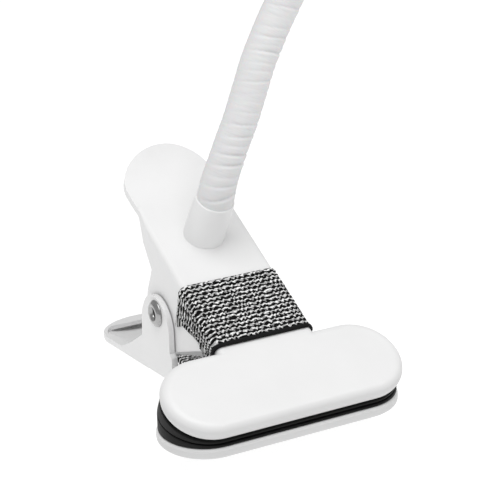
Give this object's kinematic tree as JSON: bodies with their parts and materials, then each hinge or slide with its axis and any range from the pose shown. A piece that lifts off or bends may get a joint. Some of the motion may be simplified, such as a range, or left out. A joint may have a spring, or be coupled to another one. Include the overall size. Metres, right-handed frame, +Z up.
{
  "type": "clip on reading lamp",
  "caption": "Reading lamp on a wide sprung clip with rubber-lined jaws and a knitted band, a white flexible neck and a flat light head with a button and charging inlet",
  "frame": {"origin": "middle of the lower jaw's flat underside", "axes": "X along the clip's hinge pin, +Y towards the handles (the jaws' open front faces -Y), +Z up"},
  "size_m": [0.2006, 0.3192, 0.2377],
  "materials": {
    "clip_white": "satin",
    "pad_rubber": "matte",
    "knit_band": "knitted",
    "hem_black": "woven",
    "rivet_steel": "plated",
    "spring_steel": "drawn wire",
    "core_steel": "wound",
    "bush_nylon": "matte",
    "sleeve_silicone": "soft matte",
    "lens_opal": "opal",
    "board_white": "solder mask",
    "chip_yellow": "phosphor",
    "cell_foil": "foil",
    "board_green": "solder mask",
    "switch_black": "matte",
    "button_grey": "satin",
    "port_steel": "stamped",
    "pipe_clear": "clear"
  },
  "bodies": {
    "lower_clip": {"lower_arm": "clip_white", "lower_pad": "pad_rubber", "band_lower": "knit_band", "hinge_rivet": "rivet_steel", "rivet_cap": "rivet_steel", "spring_bush": "bush_nylon", "torsion_spring": "spring_steel"},
    "upper_clip": {"upper_arm": "clip_white", "upper_pad": "pad_rubber", "band_upper": "knit_band", "band_hem": "hem_black", "neck_collar": "clip_white", "collar_washer": "rivet_steel", "collar_nut": "rivet_steel", "neck_core_base": "core_steel"},
    "neck_1": {"neck_core_1": "core_steel", "neck_sleeve_1": "sleeve_silicone"},
    "neck_2": {"neck_core_2": "core_steel", "neck_sleeve_2": "sleeve_silicone"},
    "neck_3": {"neck_core_3": "core_steel", "neck_sleeve_3": "sleeve_silicone"},
    "neck_4": {"neck_core_4": "core_steel", "neck_sleeve_4": "sleeve_silicone"},
    "neck_5": {"neck_core_5": "core_steel", "neck_sleeve_5": "sleeve_silicone"},
    "head": {"neck_core_6": "core_steel", "neck_sleeve_6": "sleeve_silicone", "neck_ferrule": "clip_white", "ferrule_nut": "rivet_steel", "head_cover": "clip_white", "head_frame": "clip_white", "diffuser": "lens_opal", "led_board": "board_white", "led_chips": "chip_yellow", "battery_cell": "cell_foil", "control_board": "board_green", "switch_body": "switch_black", "usb_socket": "port_steel", "indicator_pipe": "pipe_clear", "head_screws": "rivet_steel"},
    "button": {"power_button": "button_grey"}
  },
  "joints": [
    {"name": "jaw_hinge", "type": "hinge", "parent": "lower_clip", "child": "upper_clip", "pos_m": [0, 0.0515, 0.0209], "axis": [-1, 0, 0], "range_deg": [0, 40], "stiffness_Nm_per_rad": 1, "springref_deg": -34.38, "deforming": ["torsion_spring"]},
    {"name": "neck_bend_1", "type": "hinge", "parent": "upper_clip", "child": "neck_1", "pos_m": [0.00204, 0.04543, 0.06235], "axis": [-0.9736, -0.017, 0.2278], "range_deg": [-22, 22]},
    {"name": "neck_bend_2", "type": "hinge", "parent": "neck_1", "child": "neck_2", "pos_m": [0.01962, 0.04604, 0.10701], "axis": [-0.0688, 0.9976, 0.002], "range_deg": [-22, 22]},
    {"name": "neck_bend_3", "type": "hinge", "parent": "neck_2", "child": "neck_3", "pos_m": [0.0428, 0.04807, 0.14899], "axis": [-0.8076, 0.1135, 0.5787], "range_deg": [-22, 22]},
    {"name": "neck_bend_4", "type": "hinge", "parent": "neck_3", "child": "neck_4", "pos_m": [0.07357, 0.03688, 0.1841], "axis": [0.5535, 0.8328, 0.0086], "range_deg": [-22, 22]},
    {"name": "neck_bend_5", "type": "hinge", "parent": "neck_4", "child": "neck_5", "pos_m": [0.10296, 0.00748, 0.2081], "axis": [-0.2034, 0.3015, 0.9315], "range_deg": [-22, 22]},
    {"name": "neck_bend_6", "type": "hinge", "parent": "neck_5", "child": "head", "pos_m": [0.12205, -0.03541, 0.21808], "axis": [0.9616, 0.2743, 0.0001], "range_deg": [-22, 22]},
    {"name": "power_button", "type": "slide", "parent": "head", "child": "button", "axis": [-0.0097, 0.0691, -0.9976], "range_m": [0, 0.0008], "stiffness_N_per_m": 500, "springref_m": -0.0004}
  ]
}
